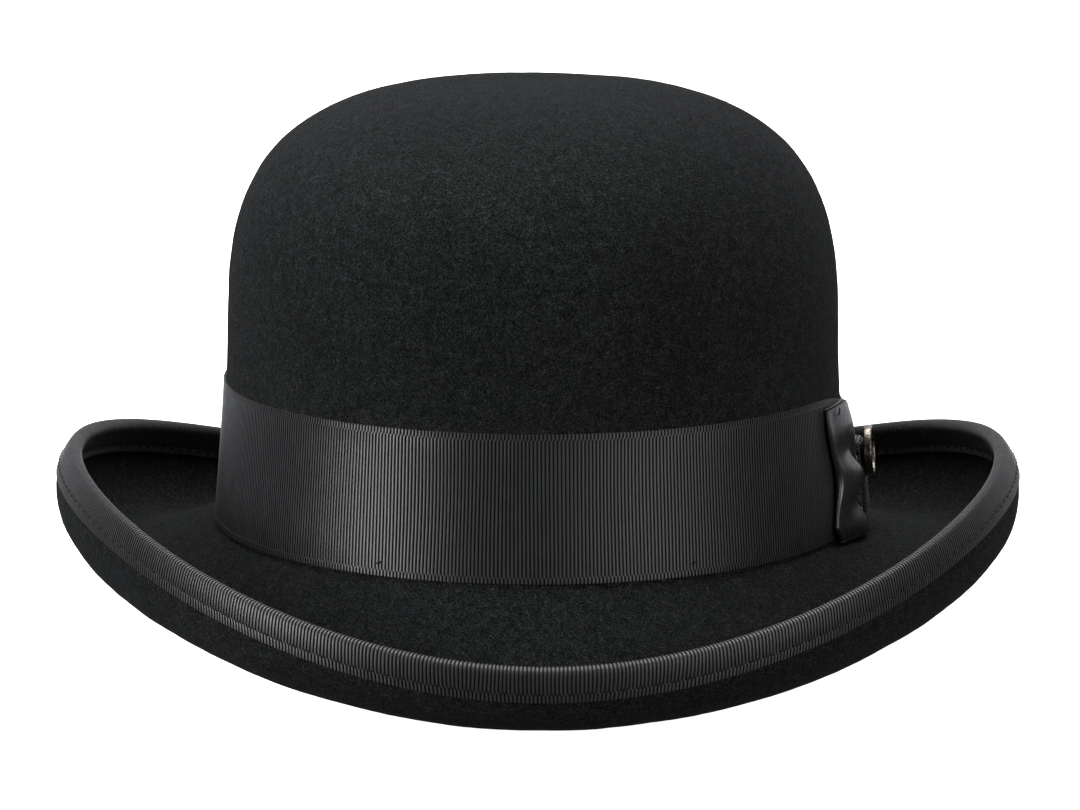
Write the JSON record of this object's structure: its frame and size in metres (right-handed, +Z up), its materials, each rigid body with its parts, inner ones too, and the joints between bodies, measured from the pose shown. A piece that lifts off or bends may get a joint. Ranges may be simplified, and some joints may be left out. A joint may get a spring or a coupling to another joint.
{
  "type": "bowler hat",
  "caption": "Stiff black felt bowler hat with a domed crown, curled bound brim, ribbon band, side bow with a round pin, leather sweatband and satin lining.",
  "frame": {"origin": "on the flat surface that the hat stands on, under the middle of its box", "axes": "+Z up through the crown, -Y towards the front of the hat, +X towards the wearer's left, where the bow is"},
  "size_m": [0.2648, 0.3011, 0.1505],
  "materials": {
    "felt": "matte",
    "binding_ribbon": "satin",
    "band_ribbon": "satin",
    "thread": "satin",
    "pin_enamel": "gloss",
    "pin_metal": "satin",
    "clutch_metal": "satin",
    "leather": "satin",
    "reed": "satin",
    "tape": "matte",
    "sweatband_ribbon": "satin",
    "satin": "satin",
    "piping": "satin"
  },
  "bodies": {
    "hat": {"felt_body": "felt", "brim_binding": "binding_ribbon", "binding_outer_stitches": "thread", "binding_inner_stitches": "thread", "hat_band": "band_ribbon", "band_tack_stitches": "thread", "bow_base": "band_ribbon", "bow_front_loop": "band_ribbon", "bow_back_loop": "band_ribbon", "bow_knot": "band_ribbon", "bow_tack_stitches": "thread", "sweatband": "leather", "sweatband_reed": "reed", "sweatband_seam_tape": "tape", "sweatband_stitches": "thread", "sweatband_bow": "sweatband_ribbon", "lining_side": "satin", "lining_tip": "satin", "lining_piping": "piping"},
    "pin": {"pin_face": "pin_enamel", "pin_bezel": "pin_metal", "pin_post": "pin_metal", "pin_clutch": "clutch_metal"}
  },
  "joints": [
    {"name": "pin_spin", "type": "hinge", "parent": "hat", "child": "pin", "pos_m": [0.09006, -0.00419, 0.04941], "axis": [0.9872, -0.1387, 0.0785], "continuous": true}
  ]
}
